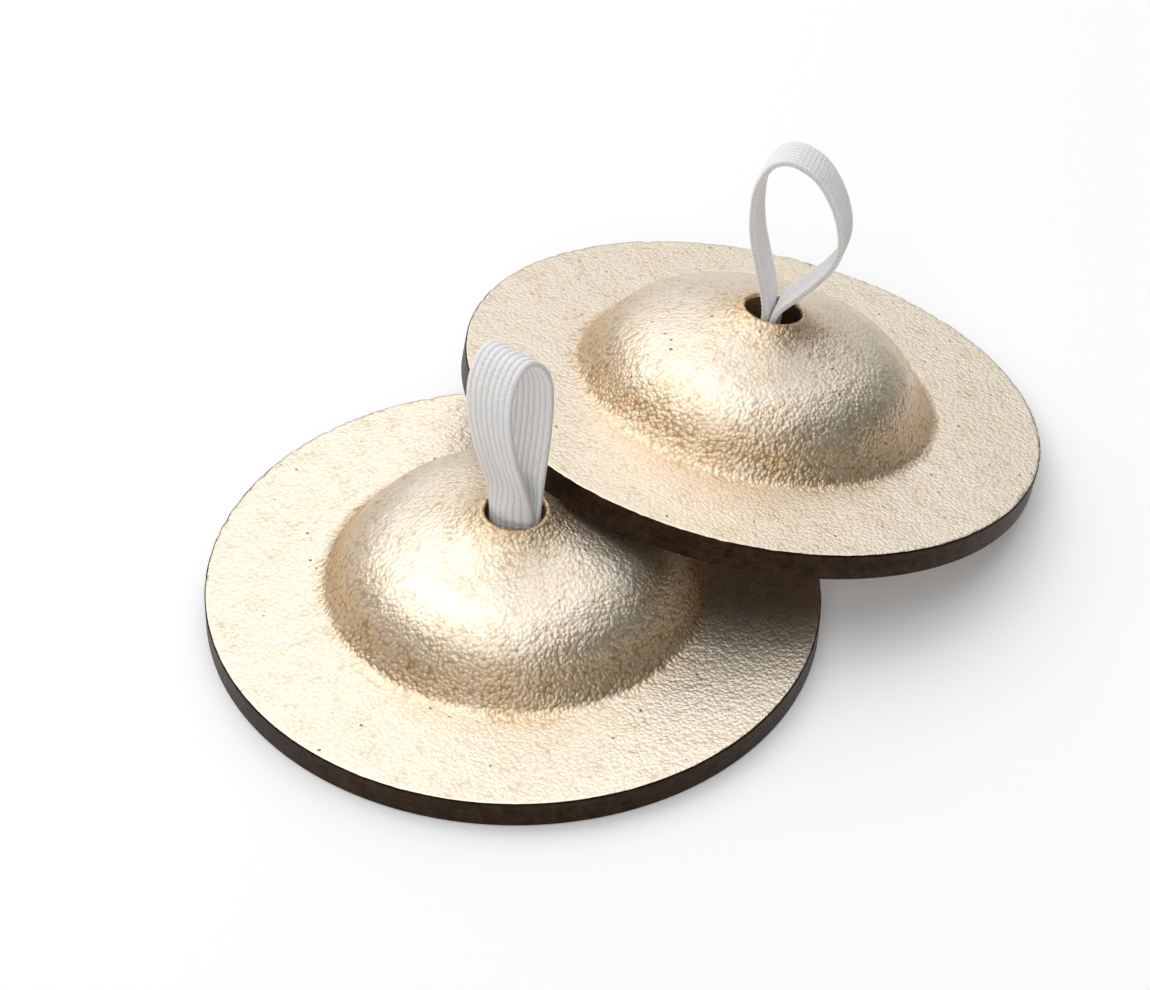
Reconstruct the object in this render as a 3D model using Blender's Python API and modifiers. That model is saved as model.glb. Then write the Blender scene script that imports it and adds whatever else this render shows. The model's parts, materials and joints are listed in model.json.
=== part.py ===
"""A pair of finger cymbals, cast in brass, each with a finger loop of flat elastic.

The front cymbal lies flat. The rear one leans on it: its near edge rests on the front bell and
its far edge stands on the table. Metres, +Z up, origin on the table under the middle of the pair,
+X from the front cymbal's centre towards the rear one's.
"""
from math import cos, pi, radians, sin, sqrt

import bmesh
import bpy
from mathutils import Matrix, Vector

# Cast cymbal: a flat rim round a hollow bell, with a drilled hole at the top of the bell
CYMBAL_RADIUS = 0.03175
RIM_THICKNESS = 0.0030
BELL_HEIGHT = 0.0099          # from the rim's top face to the lip of the hole
HOLE_RADIUS = 0.0031
RIM_CHAMFER = 0.00025
LIP_ROUND = 0.25              # of the width left for the lip, taken off its corner
TURNED_STEPS = 64
WELD_DISTANCE = 0.00001

# Elastic strip: doubled into a finger loop, knotted on itself under the bell
BAND_WIDTH = 0.0056
BAND_THICKNESS = 0.0009
GAP = 0.0003                  # left wherever two pieces touch
PIVOT_RISE = 0.0006           # a loop folds about a line this far above the lip of its hole
KNOT_SIZE = (0.0076, 0.0084, 0.0046)
KNOT_SEGMENTS, KNOT_RINGS = 20, 12
STRANDS_THICKNESS = 2.2 * BAND_THICKNESS    # both strands in the hole, with a little air between
STRANDS_DROP = 1.5 * BAND_THICKNESS         # from the fold line down to where the knot's strands end
TAIL_LENGTH = 0.0075
TAIL_SPLAYS = ((1, radians(58.0)), (-1, radians(66.0)))     # which side, and how far out of plumb
TAIL_TWIST = radians(8.0)

# How the rear cymbal leans on the front one
CENTRE_DISTANCE = 0.0361      # between the two axes, in plan, at the rims' top faces
LEAN = radians(11.42)
LEAN_HEADING = radians(-5.0)  # the rear cymbal slopes down towards this heading
FRONT_LOOP_HEADING = radians(6.4)
REAR_LOOP_HEADING = radians(-55.7)

# Bell profiles as (radius, height above the rim's top face), from the rim inwards, in millimetres
BELL_OUTSIDE = ((20.4, 0.0), (19.6, 0.3), (18.7, 1.7), (17.6, 3.8), (16.3, 5.6), (14.6, 6.7), (12.6, 7.25),
                (10.2, 7.7), (7.6, 8.2), (5.7, 8.7), (4.6, 9.2), (3.9, 9.6))
BELL_INSIDE = ((16.0, -3.0), (15.5, -1.5), (14.5, 1.1), (12.9, 3.1), (10.1, 4.5), (6.9, 5.5),
               (4.2, 6.1))

# Mid-lines of the finger loops as (across, up) from the fold line, in millimetres, foot to foot
FRONT_LOOP = ((-0.66, 0.0), (-0.9, 1.9), (-1.9, 4.9), (-3.2, 9.0), (-4.1, 13.5), (-4.0, 17.0),
              (-2.9, 19.2), (-1.4, 19.8), (0.3, 18.8), (1.8, 16.4), (2.3, 13.5), (2.1, 9.5),
              (1.5, 5.4), (0.9, 1.9), (0.66, 0.0))
REAR_LOOP = ((-0.66, 0.0), (-1.3, 2.2), (-2.4, 4.8), (-3.6, 7.8), (-4.3, 10.8), (-4.4, 13.9),
             (-3.4, 16.5), (-1.4, 17.4), (1.5, 16.4), (4.0, 13.6), (5.4, 10.3), (5.3, 7.6),
             (4.1, 5.1), (2.3, 2.5), (0.66, 0.0))

# Steps that a smooth curve takes from each of its points to the next
BELL_STEPS, HOLLOW_STEPS, LOOP_STEPS = 2, 1, 3

MILLIMETRE = 0.001


def clear_scene():
    """Start from an empty file."""
    for obj in list(bpy.data.objects):
        bpy.data.objects.remove(obj, do_unlink=True)


def make_material(name, colour, roughness, metallic):
    """A plain material with the piece's own colour."""
    material = bpy.data.materials.new(name)
    material.use_nodes = True
    shader = material.node_tree.nodes["Principled BSDF"]
    shader.inputs["Base Color"].default_value = (*colour, 1.0)
    shader.inputs["Roughness"].default_value = roughness
    shader.inputs["Metallic"].default_value = metallic
    return material


def smooth_line(points, steps):
    """Points along a smooth curve (Catmull-Rom) through the given ones, in metres."""
    knots = [Vector(p) * MILLIMETRE for p in points]
    knots = [2 * knots[0] - knots[1]] + knots + [2 * knots[-1] - knots[-2]]
    line = []
    for before, start, end, after in zip(knots, knots[1:], knots[2:], knots[3:]):
        for step in range(steps):
            t = step / steps
            square = 2 * before - 5 * start + 4 * end - after
            cube = 3 * start - before - 3 * end + after
            line.append(0.5 * (2 * start + t * (end - before) + t * t * square + t ** 3 * cube))
    line.append(knots[-2])
    return line


def cymbal_profile():
    """The turned outline, round the section: down the outside first, then up the hollow and the hole."""
    outside = [(p.x, p.y) for p in smooth_line(BELL_OUTSIDE, BELL_STEPS)]
    inside = [(p.x, p.y) for p in smooth_line(BELL_INSIDE, HOLLOW_STEPS)]
    lip = LIP_ROUND * (outside[-1][0] - HOLE_RADIUS)
    mouth = [(HOLE_RADIUS + lip, BELL_HEIGHT), (HOLE_RADIUS, BELL_HEIGHT - lip)]
    rim = [(CYMBAL_RADIUS - RIM_CHAMFER, 0.0), (CYMBAL_RADIUS, -RIM_CHAMFER),
           (CYMBAL_RADIUS, RIM_CHAMFER - RIM_THICKNESS), (CYMBAL_RADIUS - RIM_CHAMFER, -RIM_THICKNESS)]
    hole = [(HOLE_RADIUS, inside[-1][1] + lip)]
    return list(reversed(outside)) + rim + inside + hole + list(reversed(mouth))


def make_cymbal(name, collection, material):
    """One cymbal, turned round its own axis, with its rim's top face at height zero."""
    mesh = bpy.data.meshes.new(name)
    outline = [(r, 0.0, z) for r, z in cymbal_profile()]
    edges = [(i, (i + 1) % len(outline)) for i in range(len(outline))]
    mesh.from_pydata(outline, edges, [])
    obj = bpy.data.objects.new(name, mesh)
    collection.objects.link(obj)
    obj.data.materials.append(material)
    turn = obj.modifiers.new("Turned", "SCREW")
    turn.axis = "Z"
    turn.steps = TURNED_STEPS
    turn.render_steps = TURNED_STEPS
    turn.merge_threshold = WELD_DISTANCE
    turn.use_smooth_shade = True
    return obj


def make_loop(name, points, collection, material, place):
    """A finger loop: the strip's mid-line, as wide as the strip, given its thickness."""
    curve = bpy.data.curves.new(name, "CURVE")
    curve.dimensions = "2D"
    curve.fill_mode = "NONE"
    curve.extrude = BAND_WIDTH / 2
    line = smooth_line(points, LOOP_STEPS)
    spline = curve.splines.new("POLY")
    spline.points.add(len(line) - 1)
    for point, place_2d in zip(spline.points, line):
        point.co = (place_2d.x, place_2d.y, 0.0, 1.0)
    drawn = bpy.data.objects.new(name, curve)
    collection.objects.link(drawn)
    evaluated = drawn.evaluated_get(bpy.context.evaluated_depsgraph_get())
    ribbon = bpy.data.meshes.new_from_object(evaluated)
    bpy.data.objects.remove(drawn, do_unlink=True)
    ribbon.transform(Matrix.Rotation(pi / 2, 4, "X"))
    obj = bpy.data.objects.new(name, ribbon)
    collection.objects.link(obj)
    obj.data.materials.clear()
    obj.data.materials.append(material)
    obj.parent = place
    wall = obj.modifiers.new("Thickness", "SOLIDIFY")
    wall.thickness = BAND_THICKNESS
    wall.offset = 0.0
    wall.use_even_offset = True
    return obj


def add_block(bm, size, matrix):
    """A rectangular block of the given size."""
    bmesh.ops.create_cube(bm, size=1.0, matrix=matrix @ Matrix.Diagonal((*size, 1.0)))


def object_from(bm, name, collection, material):
    """An object from a bmesh."""
    mesh = bpy.data.meshes.new(name)
    bm.to_mesh(mesh)
    bm.free()
    obj = bpy.data.objects.new(name, mesh)
    collection.objects.link(obj)
    obj.data.materials.append(material)
    return obj


def make_knot(name, collection, cutters, material, place):
    """The knotted ends: two strands through the hole, the knot under the bell, and two tails."""
    seat = BELL_INSIDE[-1][1] * MILLIMETRE - BELL_HEIGHT - PIVOT_RISE - GAP
    centre = seat - KNOT_SIZE[2] / 2
    bm = bmesh.new()
    ball = Matrix.Translation((0.0, 0.0, centre)) @ Matrix.Diagonal((*KNOT_SIZE, 1.0))
    bmesh.ops.create_uvsphere(bm, u_segments=KNOT_SEGMENTS, v_segments=KNOT_RINGS, radius=0.5, matrix=ball)
    knot = object_from(bm, name, collection, material)
    width = 2 * sqrt((HOLE_RADIUS - GAP) ** 2 - (STRANDS_THICKNESS / 2) ** 2)
    bm = bmesh.new()
    add_block(bm, (STRANDS_THICKNESS, width, -STRANDS_DROP - centre),
              Matrix.Translation((0.0, 0.0, (centre - STRANDS_DROP) / 2)))
    strands = object_from(bm, name + "_strands", cutters, material)
    tails = []
    for side, splay in TAIL_SPLAYS:
        swing = Matrix.Rotation(-side * splay, 4, "Y") @ Matrix.Rotation(TAIL_TWIST, 4, "X")
        drop = Matrix.Translation((0.0, 0.0, -TAIL_LENGTH / 2))
        bm = bmesh.new()
        add_block(bm, (BAND_THICKNESS, BAND_WIDTH, TAIL_LENGTH),
                  Matrix.Translation((0.0, 0.0, centre)) @ swing @ drop)
        tails.append(object_from(bm, name + "_tail_" + str(side), cutters, material))
    for piece in (strands, *tails):
        piece.parent = place
        piece.hide_render = True
        piece.display_type = "WIRE"
        join = knot.modifiers.new("Join", "BOOLEAN")
        join.operation = "UNION"
        join.solver = "EXACT"
        join.object = piece
    knot.parent = place
    return knot


def make_place(name, collection, parent, location, turn):
    """An empty on a cymbal's axis, at the fold line of its loop."""
    empty = bpy.data.objects.new(name, None)
    collection.objects.link(empty)
    empty.parent = parent
    empty.location = location
    empty.rotation_euler = (0.0, 0.0, turn)
    return empty


def main():
    clear_scene()
    parts = bpy.data.collections.new("finger_cymbals")
    cutters = bpy.data.collections.new("joined_pieces")
    for collection in (parts, cutters):
        bpy.context.scene.collection.children.link(collection)
    brass = make_material("cast_brass", (0.78, 0.62, 0.42), 0.42, 1.0)
    elastic = make_material("white_elastic", (0.86, 0.86, 0.85), 0.8, 0.0)

    reach = CYMBAL_RADIUS * sqrt(1 - (sin(LEAN) * cos(LEAN_HEADING)) ** 2)
    front_x = (CYMBAL_RADIUS - CENTRE_DISTANCE - reach) / 2
    front = make_cymbal("front_cymbal", parts, brass)
    front.location = (front_x, 0.0, RIM_THICKNESS)
    rear = make_cymbal("rear_cymbal", parts, brass)
    rear.location = (front_x + CENTRE_DISTANCE, 0.0, RIM_THICKNESS * cos(LEAN) + CYMBAL_RADIUS * sin(LEAN))
    rear.rotation_euler = (0.0, LEAN, LEAN_HEADING)

    fold_line = (0.0, 0.0, BELL_HEIGHT + PIVOT_RISE)
    for label, cymbal, heading, points in (("front", front, FRONT_LOOP_HEADING, FRONT_LOOP),
                                           ("rear", rear, REAR_LOOP_HEADING, REAR_LOOP)):
        place = make_place(label + "_loop_axis", parts, cymbal, fold_line, heading)
        bpy.context.view_layer.update()
        make_knot(label + "_knot", parts, cutters, elastic, place)
        make_loop(label + "_finger_loop", points, parts, elastic, place)
    bpy.context.view_layer.update()


main()
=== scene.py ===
import json
from math import cos, hypot, pi, radians, sin, tau

import bmesh
import bpy
from mathutils import Matrix, Vector, noise


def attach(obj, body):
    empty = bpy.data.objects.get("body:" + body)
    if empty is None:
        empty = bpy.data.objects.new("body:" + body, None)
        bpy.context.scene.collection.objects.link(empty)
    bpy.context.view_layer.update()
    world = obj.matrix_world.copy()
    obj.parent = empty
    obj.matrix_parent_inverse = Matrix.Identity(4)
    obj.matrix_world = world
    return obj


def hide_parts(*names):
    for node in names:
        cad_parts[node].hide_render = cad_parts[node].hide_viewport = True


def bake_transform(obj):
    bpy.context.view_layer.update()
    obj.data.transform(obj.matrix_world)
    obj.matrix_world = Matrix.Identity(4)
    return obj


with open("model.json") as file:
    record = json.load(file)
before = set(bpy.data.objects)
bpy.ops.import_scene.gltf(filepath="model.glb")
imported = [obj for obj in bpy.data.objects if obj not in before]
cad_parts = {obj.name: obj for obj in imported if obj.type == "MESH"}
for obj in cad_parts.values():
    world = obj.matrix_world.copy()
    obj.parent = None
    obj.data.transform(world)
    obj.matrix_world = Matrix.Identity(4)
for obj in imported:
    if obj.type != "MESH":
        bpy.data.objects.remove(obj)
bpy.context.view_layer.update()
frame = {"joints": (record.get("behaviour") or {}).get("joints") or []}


# ---------------------------------------------------------------------------------------------
# Table, camera and light.
# The pair lies on a plain pale table. The light is soft: a broad lamp behind and one overhead
# do most, and two smaller and weaker ones at the left and in front lift the shadows.

MM = 0.001
WHITE = (1.0, 1.0, 1.0, 1.0)
TABLE_SIDE = 3.0
TABLE_PALE = (0.92, 0.92, 0.92, 1.0)
TABLE_GLOW = 0.17             # keeps the table white where the lamps no longer reach
EYE = Vector((-178.8, -164.6, 210.4)) * MM
HEADING, DIP, ROLL = radians(44.12), radians(40.33), radians(1.83)
FOCAL_LENGTH = 93.9
LAMP_DISTANCE = 1.0
ROOM_LIGHT = 0.08

table_mesh = bmesh.new()
bmesh.ops.create_grid(table_mesh, x_segments=1, y_segments=1, size=TABLE_SIDE / 2)
table = bpy.data.objects.new("table", bpy.data.meshes.new("table"))
table_mesh.to_mesh(table.data)
table_mesh.free()
bpy.context.scene.collection.objects.link(table)

table_paint = bpy.data.materials.new("pale table")
table_paint.use_nodes = True
paint = table_paint.node_tree.nodes["Principled BSDF"]
paint.inputs["Base Color"].default_value = TABLE_PALE
paint.inputs["Roughness"].default_value = 0.9
paint.inputs["Emission Color"].default_value = WHITE
paint.inputs["Emission Strength"].default_value = TABLE_GLOW
table.data.materials.append(table_paint)

lens = bpy.data.cameras.new("camera")
lens.lens = FOCAL_LENGTH
lens.clip_start = 10 * MM
camera = bpy.data.objects.new("camera", lens)
camera.matrix_world = (Matrix.Translation(EYE) @ Matrix.Rotation(HEADING - pi / 2, 4, "Z")
                       @ Matrix.Rotation(pi / 2 - DIP, 4, "X") @ Matrix.Rotation(ROLL, 4, "Z"))
bpy.context.scene.collection.objects.link(camera)
bpy.context.scene.camera = camera


def soft_lamp(name, heading, height, side, power):
    """A square lamp aimed at the pair; heading and height are where it stands, seen from there."""
    light = bpy.data.lights.new(name, "AREA")
    light.shape = "SQUARE"
    light.size = side
    light.energy = power
    lamp = bpy.data.objects.new(name, light)
    way = Vector((cos(heading) * cos(height), sin(heading) * cos(height), sin(height)))
    lamp.location = way * LAMP_DISTANCE
    lamp.rotation_euler = way.to_track_quat("Z", "Y").to_euler()
    bpy.context.scene.collection.objects.link(lamp)


soft_lamp("back light", radians(46), radians(48), side=1.2, power=5.4)
soft_lamp("top light", radians(170), radians(76), side=1.0, power=4.4)
soft_lamp("left light", radians(115), radians(42), side=0.6, power=2.1)
soft_lamp("front light", radians(212), radians(36), side=0.5, power=1.5)

studio = bpy.data.worlds.new("studio")
studio.use_nodes = True
studio.node_tree.nodes["Background"].inputs["Color"].default_value = WHITE
studio.node_tree.nodes["Background"].inputs["Strength"].default_value = ROOM_LIGHT
bpy.context.scene.world = studio
bpy.context.scene.view_settings.view_transform = "Standard"


# ---------------------------------------------------------------------------------------------
# Cast cymbals.
# Each is one sand casting in brass: a flat rim round a hollow bell with a drilled hole. The
# outside keeps the grain of the sand. The edge and the rim's underside are turned on a lathe.

# In millimetres, with heights measured from the rim's upper face.
CYMBAL_RADIUS = 31.75
RIM_THICKNESS = 3.0
BELL_HEIGHT = 9.9
HOLE_RADIUS = 3.1
FOLD_RISE = 0.6               # the loop's fold line, above the lip of the hole
BELL_OUTSIDE = ((20.4, 0.0), (19.5, 0.3), (18.5, 1.5), (17.3, 3.4), (15.9, 5.0), (14.2, 6.1), (12.3, 6.9),
                (10.1, 7.5), (7.6, 8.12), (5.7, 8.7), (4.6, 9.2), (3.9, 9.6))
BELL_INSIDE = ((16.0, -3.0), (15.5, -1.5), (14.5, 1.1), (12.9, 3.1), (10.1, 4.5), (6.9, 5.5), (4.2, 6.1))
BELL_LIP = ((3.9, 9.6), (3.55, 9.82), (3.3, 9.86), (3.13, 9.72), (HOLE_RADIUS, 9.45))
BORE = ((3.4, 6.2), (HOLE_RADIUS, 6.6), (HOLE_RADIUS, 7.5), (HOLE_RADIUS, 8.5))
UPPER_BREAK = (0.12, 0.1)     # how far the edge's upper corner is broken, inwards and down
LOWER_BREAK = 0.15
TOOL_STEP, TOOL_DEPTH = 0.2, 0.012     # the lathe tool's lines round the edge

SKIN_STEP, LIP_STEP, HOLLOW_STEP, FACE_STEP = 0.27, 0.14, 0.9, 1.4    # between rings of the mesh
FLAT_RINGS, EDGE_RINGS, FACE_RINGS = 42, 13, 12
ARC_STEPS, DOUBLINGS = 8, 6   # a turn is 8 steps, doubled 6 times: 512 steps
CURVE_STEPS = 24              # from one point of a curve to the next
WELD = 0.001
SKIN, EDGE, FACE, HOLLOW = range(4)     # the slots of the cymbal's four materials

NOISE_SHIFT = Vector((37.0, 11.0, 0.0))     # from one casting's lumps and grain to the next's
LUMPS = ((8.0, 0.05), (2.4, 0.02))     # the casting's slow swell: (size, height)
SAND = ((0.9, 0.026), (0.55, 0.016))   # the sand's grain
SAND_ON_FLATS, SAND_ON_SLOPES = 0.5, 2.0
LIP_FADE = 0.6                # the skin is smooth at the hole, and fully rough this far out
CHIPS = ((1.1, 1.0), (0.5, 0.5))
CHIPPED_BAND = 0.3
CHIP_START, CHIP_DROP, CHIP_SHRINK = 0.05, 0.20, 0.003


def curve_through(points, spacing):
    """Evenly spaced points on a smooth curve (Catmull-Rom) through the given ones."""
    knots = [Vector(p) for p in points]
    knots = [2 * knots[0] - knots[1]] + knots + [2 * knots[-1] - knots[-2]]
    fine = []
    for before, start, end, after in zip(knots, knots[1:], knots[2:], knots[3:]):
        for step in range(CURVE_STEPS):
            t = step / CURVE_STEPS
            slope = t * (end - before)
            square = t * t * (2 * before - 5 * start + 4 * end - after)
            cube = t ** 3 * (3 * start - before - 3 * end + after)
            fine.append(0.5 * (2 * start + slope + square + cube))
    fine.append(knots[-2])
    length = sum((b - a).length for a, b in zip(fine, fine[1:]))
    count = max(2, round(length / spacing))
    line, run, target = [fine[0]], 0.0, length / count
    for a, b in zip(fine, fine[1:]):
        step = (b - a).length
        while len(line) < count and run + step >= target:
            line.append(a.lerp(b, (target - run) / step))
            target += length / count
        run += step
    return line + [fine[-1]]


def lip_frame(label):
    """The frame of a cymbal's loop: origin on the fold line, Z up the hole, Y along the fold."""
    joints = {joint["name"]: joint for joint in frame["joints"]}
    up = Vector(joints[label + "_loop_swivel"]["axis"]).normalized()
    along = -Vector(joints[label + "_loop_fold"]["axis"]).normalized()
    place = Matrix((along.cross(up), along, up)).transposed().to_4x4()
    place.translation = Vector(joints[label + "_loop_swivel"]["pos_m"])
    return place


def half_section():
    """The five outlines of (radius, height) that are spun: skin, edge, rim's face, hollow and bore."""
    rim = [(CYMBAL_RADIUS - UPPER_BREAK[0] - i * SKIN_STEP, 0.0) for i in range(FLAT_RINGS)]
    bell = [(p.x, p.y) for p in curve_through(BELL_OUTSIDE, SKIN_STEP)]
    lip = [(p.x, p.y) for p in curve_through(BELL_LIP, LIP_STEP)]
    skin = lip[:0:-1] + bell[::-1] + rim[::-1]
    edge = [rim[0], (CYMBAL_RADIUS, -UPPER_BREAK[1])]
    for i in range(1, EDGE_RINGS + 1):
        edge.append((CYMBAL_RADIUS - TOOL_DEPTH * (i % 2), -UPPER_BREAK[1] - i * TOOL_STEP))
    edge.append((CYMBAL_RADIUS, -RIM_THICKNESS + LOWER_BREAK))
    edge.append((CYMBAL_RADIUS - LOWER_BREAK, -RIM_THICKNESS))
    face = [(edge[-1][0] - i * FACE_STEP, -RIM_THICKNESS) for i in range(FACE_RINGS)]
    face.append(BELL_INSIDE[0])
    hollow = [(p.x, p.y) for p in curve_through(BELL_INSIDE, HOLLOW_STEP)]
    bore = [hollow[-1], *BORE, skin[0]]
    return skin, edge, face, hollow, bore


def spun(bm, outline, material):
    """Adds a full turn of an outline: a short arc of it, doubled until it closes."""
    verts = [bm.verts.new((r, 0.0, z)) for r, z in outline]
    arc = verts + [bm.edges.new(pair) for pair in zip(verts, verts[1:])]
    before = len(bm.faces)
    turn = tau / 2 ** DOUBLINGS
    bmesh.ops.spin(bm, geom=arc, axis=(0, 0, 1), cent=(0, 0, 0), steps=ARC_STEPS, angle=turn)
    bm.faces.ensure_lookup_table()
    sector = bm.faces[before:]
    for face in sector:
        face.material_index = material
    for _ in range(DOUBLINGS):
        copy = bmesh.ops.duplicate(bm, geom=sector)["geom"]
        moved = [g for g in copy if isinstance(g, bmesh.types.BMVert)]
        bmesh.ops.rotate(bm, verts=moved, cent=(0, 0, 0), matrix=Matrix.Rotation(turn, 3, "Z"))
        sector += [g for g in copy if isinstance(g, bmesh.types.BMFace)]
        turn *= 2


def roughness_at(spot, kinds):
    """How high a rough surface stands at a spot: noise of several kinds, each (size, height)."""
    return sum(height * noise.noise(spot / size) for size, height in kinds)


def roughened(bm, seed):
    """Gives the skin the casting's lumps and the sand's grain, and chips its outer edge."""
    shift = NOISE_SHIFT * seed
    for vert in bm.verts:
        radius, height = hypot(vert.co.x, vert.co.y), vert.co.z
        spot = vert.co + shift
        if height > -0.05 and vert.normal.z > -0.2 and radius > HOLE_RADIUS + 0.02:
            steep = 1.0 - vert.normal.z ** 6
            grain = SAND_ON_FLATS + (SAND_ON_SLOPES - SAND_ON_FLATS) * steep
            lift = roughness_at(spot, LUMPS) + roughness_at(spot, SAND) * grain
            vert.co += vert.normal * lift * min(1.0, (radius - HOLE_RADIUS) / LIP_FADE)
        if radius > CYMBAL_RADIUS - CHIPPED_BAND and height > -0.2:
            chip = max(0.0, roughness_at(spot, CHIPS) - CHIP_START)
            vert.co.z -= CHIP_DROP * chip
            vert.co.x *= 1 - CHIP_SHRINK * chip
            vert.co.y *= 1 - CHIP_SHRINK * chip


def cast_cymbal(name, place, seed):
    """One cymbal, with its cast grain and its turned edge; the map "turning" is (radius, height)."""
    bm = bmesh.new()
    for outline, material in zip(half_section(), (SKIN, EDGE, FACE, HOLLOW, FACE)):
        spun(bm, outline, material)
    bmesh.ops.remove_doubles(bm, verts=bm.verts, dist=WELD)
    bmesh.ops.recalc_face_normals(bm, faces=bm.faces)
    roughened(bm, seed)
    turning = bm.loops.layers.uv.new("turning")
    for face in bm.faces:
        for loop in face.loops:
            co = loop.vert.co
            loop[turning].uv = (hypot(co.x, co.y), co.z)
        face.smooth = True
    sink = Matrix.Translation((0.0, 0.0, -(BELL_HEIGHT + FOLD_RISE) * MM))
    bm.transform(place @ sink @ Matrix.Scale(MM, 4))
    cymbal = bpy.data.objects.new(name, bpy.data.meshes.new(name))
    bm.to_mesh(cymbal.data)
    bm.free()
    bpy.context.scene.collection.objects.link(cymbal)
    return cymbal


class Finish:
    """A material while it is being made: its shader, and a method for each kind of node."""

    def __init__(self, name, **sockets):
        self.material = bpy.data.materials.new(name)
        self.material.use_nodes = True
        self.tree = self.material.node_tree
        self.shader = self.tree.nodes["Principled BSDF"]
        for socket, value in sockets.items():
            self.feed(self.shader.inputs[socket.replace("_", " ")], value)

    def feed(self, socket, value):
        """Links another node's output to a socket, or sets the socket to a number or a colour."""
        if isinstance(value, bpy.types.NodeSocket):
            self.tree.links.new(value, socket)
        elif isinstance(value, tuple):
            socket.default_value = (*value, 1.0)
        else:
            socket.default_value = value

    def texture(self, kind, place, **sockets):
        node = self.tree.nodes.new(kind)
        self.feed(node.inputs["Vector"], place)
        for socket, value in sockets.items():
            self.feed(node.inputs[socket], value)
        return node.outputs["Distance" if kind == "ShaderNodeTexVoronoi" else "Fac"]

    def map(self, name):
        """The named map of the mesh, as a whole and as its two numbers."""
        node = self.tree.nodes.new("ShaderNodeUVMap")
        node.uv_map = name
        split = self.tree.nodes.new("ShaderNodeSeparateXYZ")
        self.feed(split.inputs["Vector"], node.outputs["UV"])
        return node.outputs["UV"], split.outputs["X"], split.outputs["Y"]

    def place(self):
        return self.tree.nodes.new("ShaderNodeTexCoord").outputs["Object"]

    def math(self, operation, *values, clamped=False):
        node = self.tree.nodes.new("ShaderNodeMath")
        node.operation = operation
        node.use_clamp = clamped
        for socket, value in zip(node.inputs, values):
            self.feed(socket, value)
        return node.outputs[0]

    def range(self, value, start, end, new_start=0.0, new_end=1.0):
        """A value from start to end, made to run from new_start to new_end and no further."""
        node = self.tree.nodes.new("ShaderNodeMapRange")
        for socket, number in zip(node.inputs, (value, start, end, new_start, new_end)):
            self.feed(socket, number)
        return node.outputs["Result"]

    def ramp(self, value, stops):
        """A colour ramp on a value; stops are (position, colour)."""
        node = self.tree.nodes.new("ShaderNodeValToRGB")
        self.feed(node.inputs["Fac"], value)
        elements = node.color_ramp.elements
        while len(elements) < len(stops):
            elements.new(0.5)
        for element, (position, colour) in zip(elements, stops):
            element.position = position
            element.color = (*colour, 1.0)
        return node.outputs["Color"]

    def mix(self, amount, first, second, blend="MIX"):
        node = self.tree.nodes.new("ShaderNodeMix")
        node.data_type = "RGBA"
        node.blend_type = blend
        for index, value in ((0, amount), (6, first), (7, second)):
            self.feed(node.inputs[index], value)
        return node.outputs[2]

    def bump(self, height, depth):
        """Bumps the shader's surface by a height times a depth in metres."""
        node = self.tree.nodes.new("ShaderNodeBump")
        node.inputs["Strength"].default_value = 1.0
        node.inputs["Distance"].default_value = depth
        self.feed(node.inputs["Height"], height)
        self.feed(self.shader.inputs["Normal"], node.outputs["Normal"])


BLACK_TO_WHITE = ((0.0, 0.0, 0.0), (1.0, 1.0, 1.0))
HIGHLIGHT_BY_RADIUS = ((0.10, 0.25), (0.16, 0.60), (0.24, 0.9), (0.40, 1.0), (0.50, 0.72), (0.57, 0.26),
                    (0.61, 0.40), (0.66, 1.0))     # parts of the cymbal's radius; 1 is the flats' painted pale highlight, low values the slopes' painted shade
PATCHES, SAND_GRAINS, FINE_SAND, PIT_SPACING = 420.0, 2300.0, 5200.0, 380.0    # how many in a metre
PATCHINESS = 1.1
# painted shade in the low gaps between the sand's grains, strong on the slopes, faint on the flats
GAP_SHADE_ON_SLOPES, GAP_SHADE_ON_FLATS = 0.72, 0.14
GRAIN_GAPS = (0.50, 0.82)
FINE_SAND_PART = 0.7
PIT_RIM = (0.03, 0.08)
PIT_DARKENING, PIT_DEPTH = 0.7, 0.5
SKIN_ROUGHNESS = (0.38, 0.50)
GRAIN_ON_SLOPES, GRAIN_ON_FLATS = -1.0, -0.38      # depths, as parts of the grain's


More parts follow.
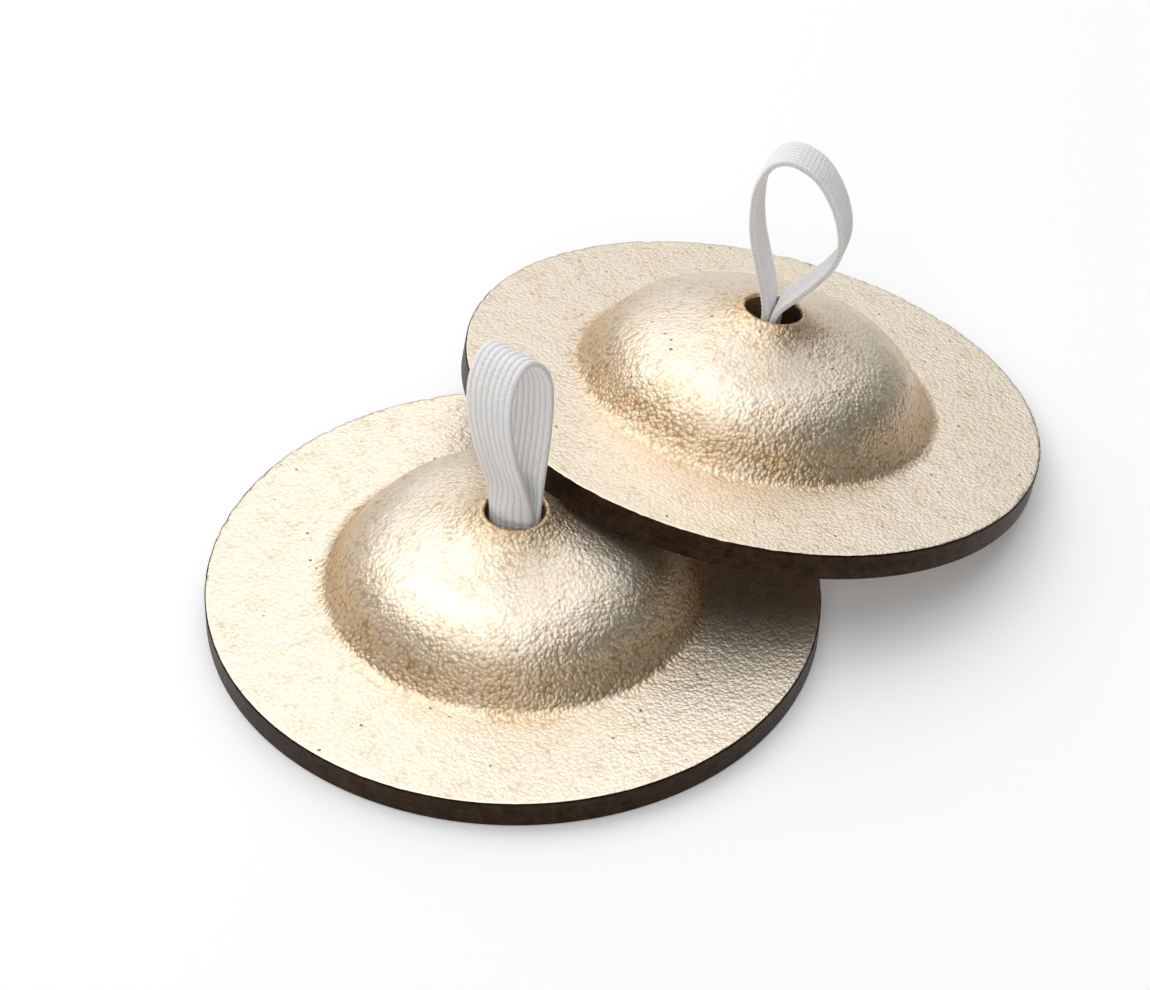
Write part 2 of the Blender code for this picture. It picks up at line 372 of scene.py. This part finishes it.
def cast_skin(name, pale_highlight, raw, gap_shade, grain_depth):
    """Brass from the sand, with painted light: pale on the flats as a painted highlight, browner and
    darker on the slopes as painted shade, with painted shade in the gaps between the grains there; the
    grain is coarser on the slopes.
    """
    finish = Finish(name, Metallic=1.0)
    place = finish.place()
    radius = finish.map("turning")[1]
    radial_highlight_stops = [(at, (much,) * 3) for at, much in HIGHLIGHT_BY_RADIUS]
    radial_highlight = finish.ramp(finish.range(radius, 0.0, CYMBAL_RADIUS), radial_highlight_stops)
    patches = finish.texture("ShaderNodeTexNoise", place, Scale=PATCHES, Detail=4.0, Roughness=0.6)
    grain = finish.texture("ShaderNodeTexVoronoi", place, Scale=SAND_GRAINS, Randomness=1.0)
    fine = finish.texture("ShaderNodeTexNoise", place, Scale=FINE_SAND, Detail=2.0, Roughness=0.6)
    pits = finish.texture("ShaderNodeTexVoronoi", place, Scale=PIT_SPACING, Randomness=1.0)

    # Painted light: by radius, the flats take the pale colour as a painted highlight and the slopes the
    # brass's own browner colour, darkened as painted shade; the patches vary this at random.
    lowered = finish.math("SUBTRACT", radial_highlight, PATCHINESS / 2)
    pale = finish.math("MULTIPLY_ADD", patches, PATCHINESS, lowered, clamped=True)
    body = finish.mix(pale, raw, pale_highlight)
    # Painted shade: a dark colour in the low gaps between the grains, more of it on the slopes.
    shade_between_grains = finish.range(grain, *GRAIN_GAPS)
    gap_shade_amount = finish.range(pale, 0.0, 1.0, GAP_SHADE_ON_SLOPES, GAP_SHADE_ON_FLATS)
    with_gap_shade = finish.mix(finish.math("MULTIPLY", shade_between_grains, gap_shade_amount), body, gap_shade)
    # The pits are painted darker.
    out_of_pits = finish.ramp(pits, tuple(zip(PIT_RIM, BLACK_TO_WHITE)))
    pit_darkened = finish.mix(PIT_DARKENING, with_gap_shade, out_of_pits, blend="MULTIPLY")
    finish.feed(finish.shader.inputs["Base Color"], pit_darkened)
    finish.feed(finish.shader.inputs["Roughness"], finish.range(fine, 0.0, 1.0, *SKIN_ROUGHNESS))

    grains = finish.math("MULTIPLY_ADD", fine, FINE_SAND_PART, grain)
    depth = finish.range(pale, 0.0, 1.0, GRAIN_ON_SLOPES, GRAIN_ON_FLATS)
    sand = finish.math("MULTIPLY", grains, depth)
    finish.bump(finish.math("MULTIPLY_ADD", out_of_pits, PIT_DEPTH, sand), grain_depth)
    return finish.material


def turned_brass(name, light, dark, line_depth, line_spacing):
    """Brass cut on a lathe: fine lines round the axis, read from the mesh's own radius and height."""
    finish = Finish(name, Metallic=0.9, Roughness=0.46)
    stretch = finish.tree.nodes.new("ShaderNodeMapping")
    finish.feed(stretch.inputs["Vector"], finish.map("turning")[0])
    stretch.inputs["Scale"].default_value = (1 / line_spacing, 1 / line_spacing, 1.0)
    lines = finish.texture("ShaderNodeTexNoise", stretch.outputs["Vector"], Scale=1.0, Detail=3.0,
                           Roughness=0.7)
    blotch = finish.texture("ShaderNodeTexNoise", finish.place(), Scale=900.0, Detail=4.0, Roughness=0.65)
    tone = finish.math("MULTIPLY_ADD", lines, 0.7, blotch)
    colour = finish.ramp(finish.range(tone, 0.55, 1.15), ((0.0, dark), (1.0, light)))
    finish.feed(finish.shader.inputs["Base Color"], colour)
    finish.bump(tone, line_depth)
    return finish.material


skin_brass = cast_skin("cast brass skin", pale_highlight=(0.95, 0.85, 0.71), raw=(0.86, 0.61, 0.34),
                       gap_shade=(0.30, 0.16, 0.06), grain_depth=0.00014)
# The hollow under the bell is painted much darker than the outside, as painted shade.
hollow_brass_with_shade = cast_skin("cast brass hollow with painted shade", pale_highlight=(0.44, 0.31, 0.18), raw=(0.30, 0.20, 0.11),
                         gap_shade=(0.15, 0.09, 0.05), grain_depth=0.00020)
# The edge is near black: partly the brass's own dark brown, partly painted shade of an edge the lamps
# barely reach.
edge_brass_with_shade = turned_brass("turned dark edge with painted shade", light=(0.070, 0.037, 0.017), dark=(0.006, 0.004, 0.0025),
                          line_depth=0.00006, line_spacing=0.22)
# The rim's underside and the bore are painted dark as shade, which deepens the shade in the gap under the
# rear cymbal.
face_brass_with_shade = turned_brass("turned brass face with painted shade", light=(0.27, 0.18, 0.10), dark=(0.10, 0.06, 0.03),
                          line_depth=0.00005, line_spacing=0.25)

lips = {label: lip_frame(label) for label in ("front", "rear")}
for label, seed in (("front", 1.0), ("rear", 2.0)):
    cymbal = cast_cymbal(label + "_cast_cymbal", lips[label], seed)
    for material in (skin_brass, edge_brass_with_shade, face_brass_with_shade, hollow_brass_with_shade):
        cymbal.data.materials.append(material)
    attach(cymbal, label + "_cymbal")
    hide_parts(label + "_cymbal")


# ---------------------------------------------------------------------------------------------
# Elastic finger loops.
# Each is one strip of flat white knitted elastic, eight cords wide. It is doubled through the
# hole, so the loop stands above the bell and both ends go down to the knot.

BAND_WIDTH = 5.6
BAND_THICKNESS = 0.85
CORDS = 8
STITCH = 0.50                 # length of one knitted stitch
STITCH_LEAN = 0.35            # how far a stitch runs ahead at the sides of its cord, in stitches
EDGE_ROUND = 0.45             # the outermost threads' part of the band's thickness
BOW_TOP = 4.5                 # where a strand that bows out in the hole is flat again, above it
STRIP_STEP = 0.13
COLUMNS_PER_CORD = 6
FRONT_LOOP = ((-0.48, -6.2), (-0.48, -3.0), (-0.52, -0.4), (-0.9, 1.9), (-1.9, 4.9), (-3.2, 9.0),
              (-4.1, 13.5), (-4.0, 17.0), (-2.9, 19.2), (-1.4, 19.8), (0.3, 18.8), (1.8, 16.4),
              (2.3, 13.5), (2.1, 9.5), (1.5, 5.4), (0.9, 1.9), (0.52, -0.4), (0.48, -3.0), (0.48, -6.2))
REAR_LOOP = ((-0.48, -6.2), (-0.48, -3.0), (-0.55, -0.3), (-1.3, 2.2), (-2.4, 4.8), (-3.6, 7.8),
             (-4.3, 10.8), (-4.4, 13.9), (-3.4, 16.5), (-1.4, 17.4), (1.5, 16.4), (4.0, 13.6),
             (5.4, 10.3), (5.3, 7.6), (4.1, 5.1), (2.3, 2.5), (0.6, -0.1), (0.48, -3.0), (0.48, -6.2))


def half_thickness(across, along):
    """Half the band's thickness at a place on it: round cords side by side, each a row of stitches."""
    cord = (across / BAND_WIDTH + 0.5) * CORDS
    round_cord = abs(sin(pi * cord)) ** 0.7
    ahead = STITCH_LEAN * abs(2 * (cord % 1.0) - 1.0)
    stitches = 0.5 + 0.5 * sin(tau * (along / STITCH + ahead))
    selvage = max(0.0, 2 * abs(across) / BAND_WIDTH - 0.7) / 0.3
    relief = 0.70 + 0.15 * round_cord + 0.15 * stitches * round_cord
    return BAND_THICKNESS / 2 * relief * (1 - 0.35 * selvage ** 2)


def elastic_strip(name, route, place, bow=0.0):
    """A strip bent along a route of (across, up) points, foot to foot, with its width along Y.

    In the round hole it bows outwards across its width, by the given amount. Its map "knit" is
    (across, along) in millimetres.
    """
    line = [Vector((p.x, 0.0, p.y)) for p in curve_through(route, STRIP_STEP)]
    rows, columns = len(line), CORDS * COLUMNS_PER_CORD + 1
    bm = bmesh.new()
    bmesh.ops.create_grid(bm, x_segments=rows - 1, y_segments=columns - 1, size=0.5)
    top = bmesh.ops.extrude_face_region(bm, geom=bm.faces[:])
    raised = [g for g in top["geom"] if isinstance(g, bmesh.types.BMVert)]
    bmesh.ops.translate(bm, verts=raised, vec=(0, 0, 1))
    bmesh.ops.recalc_face_normals(bm, faces=bm.faces)
    knit = bm.loops.layers.uv.new("knit")
    spacing = (line[1] - line[0]).length
    for face in bm.faces:
        face.smooth = True
        for loop in face.loops:
            co = loop.vert.co
            loop[knit].uv = (co.y * BAND_WIDTH, (co.x + 0.5) * (rows - 1) * spacing)
    for vert in bm.verts:
        row = round((vert.co.x + 0.5) * (rows - 1))
        across, side = vert.co.y * BAND_WIDTH, (-1.0, 1.0)[vert.co.z > 0.5]
        tangent = (line[min(row + 1, rows - 1)] - line[max(row - 1, 0)]).normalized()
        normal = Vector((tangent.z, 0.0, -tangent.x))
        half = half_thickness(across, row * spacing)
        if abs(vert.co.y) > 0.499:
            half *= EDGE_ROUND
        squeezed = min(1.0, max(0.0, (BOW_TOP - line[row].z) / BOW_TOP))
        squeezed = squeezed * squeezed * (3 - 2 * squeezed)
        bulge = bow * squeezed * (1 - (2 * vert.co.y) ** 2) * (1, -1)[line[row].x < 0]
        vert.co = line[row] + Vector((bulge, across, 0.0)) - normal * side * half
    bmesh.ops.recalc_face_normals(bm, faces=bm.faces)
    bm.transform(place @ Matrix.Scale(MM, 4))
    strip = bpy.data.objects.new(name, bpy.data.meshes.new(name))
    bm.to_mesh(strip.data)
    bm.free()
    bpy.context.scene.collection.objects.link(strip)
    return strip


def knitted_elastic():
    """White knitted elastic: bright cords with painted shade in grey between them, and a fine stitch
    across.
    """
    finish = Finish("white knitted elastic", Roughness=0.82, Sheen_Weight=0.25, Subsurface_Weight=0.35,
                    Subsurface_Scale=1.5 * MM)
    knit, across, along = finish.map("knit")
    wave = finish.math("SINE", finish.math("MULTIPLY", across, pi * CORDS / BAND_WIDTH))
    groove_shade_mask = finish.math("ABSOLUTE", wave)
    stitch = finish.math("SINE", finish.math("MULTIPLY", along, tau / STITCH))
    yarn = finish.texture("ShaderNodeTexNoise", knit, Scale=5.0, Detail=3.0, Roughness=0.6)
    knitted = finish.math("MULTIPLY_ADD", stitch, 0.12, groove_shade_mask)
    tone = finish.math("MULTIPLY_ADD", yarn, 0.5, knitted)
    # The ramp's grey low end is painted shade in the grooves between the cords.
    colour = finish.ramp(tone, ((0.25, (0.76, 0.76, 0.76)), (0.85, (0.99, 0.99, 0.99))))
    finish.feed(finish.shader.inputs["Base Color"], colour)
    finish.bump(tone, 0.08 * MM)
    return finish.material


elastic = knitted_elastic()
for label, route, bow in (("front", FRONT_LOOP, 1.35), ("rear", REAR_LOOP, 0.0)):
    strip = elastic_strip(label + "_elastic_loop", route, lips[label], bow)
    strip.data.materials.append(elastic)
    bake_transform(strip)
    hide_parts(label + "_finger_loop")


# ---------------------------------------------------------------------------------------------
# Knots under the bells.
# The two ends of each strip are tied together in one overhand knot, too big for the hole. Its
# turns are the strip itself, pulled tight and rounded, and the cut ends spread out below it.

KNOT_MIDDLE = -7.1            # below the fold line
TURN_WIDTH = 3.9              # the strip's width where the knot squeezes it
TURN_CROWN, TURN_RIB, TURN_BACK = 0.55, 0.09, 0.5
SECTION_STEPS, TURN_STEPS = 24, 64
TURNS = ((2.3, 1.12, radians(24), 0.3, 0.0), (2.75, 1.05, radians(-22), 0.9, -0.2))
TAIL_ROUTES = (((0.5, -6.4), (0.7, -8.1), (1.9, -9.2), (4.0, -10.1), (6.5, -11.1)),
               ((-0.5, -6.4), (-0.7, -8.3), (-1.9, -9.5), (-4.1, -10.0), (-6.7, -10.3)))


def wound_band(bm, radius, squash, tilt, turn, height):
    """Adds one turn of the strip round the others, tilted, as a closed ribbed hoop."""
    section = []
    for i in range(SECTION_STEPS + 1):
        across = TURN_WIDTH * (i / SECTION_STEPS - 0.5)
        rib = TURN_RIB * abs(sin(pi * (i / SECTION_STEPS) * CORDS))
        bulge = TURN_CROWN * cos(pi * across / TURN_WIDTH) + rib
        section.append(bm.verts.new((radius + bulge, 0.0, across)))
    for across in (TURN_WIDTH * 0.42, -TURN_WIDTH * 0.42):
        section.append(bm.verts.new((radius - TURN_BACK, 0.0, across)))
    edges = [bm.edges.new(pair) for pair in zip(section, section[1:] + section[:1])]
    before = set(bm.verts) - set(section)
    bmesh.ops.spin(bm, geom=section + edges, axis=(0, 0, 1), cent=(0, 0, 0), steps=TURN_STEPS, angle=tau,
                   use_merge=True)
    shape = (Matrix.Translation((0, 0, height)) @ Matrix.Rotation(turn, 4, "Z")
             @ Matrix.Rotation(tilt, 4, "X") @ Matrix.Diagonal((1.0, squash, 1.0, 1.0)))
    bmesh.ops.transform(bm, matrix=shape, verts=[v for v in bm.verts if v not in before])


for label in ("front", "rear"):
    bm = bmesh.new()
    for radius, squash, tilt, turn, drop in TURNS:
        wound_band(bm, radius, squash, tilt, turn, KNOT_MIDDLE + drop)
    bmesh.ops.recalc_face_normals(bm, faces=bm.faces)
    knit = bm.loops.layers.uv.new("knit")
    for face in bm.faces:
        face.smooth = True
        for loop in face.loops:
            loop[knit].uv = (loop.vert.co.z, 0.0)
    bm.transform(lips[label] @ Matrix.Scale(MM, 4))
    knot = bpy.data.objects.new(label + "_overhand_knot", bpy.data.meshes.new(label + "_overhand_knot"))
    bm.to_mesh(knot.data)
    bm.free()
    bpy.context.scene.collection.objects.link(knot)
    tails = [elastic_strip(label + "_tail_" + side, route, lips[label])
             for side, route in zip(("right", "left"), TAIL_ROUTES)]
    for piece in (knot, *tails):
        piece.data.materials.append(elastic)
        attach(piece, label + "_knot")
    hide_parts(label + "_knot")
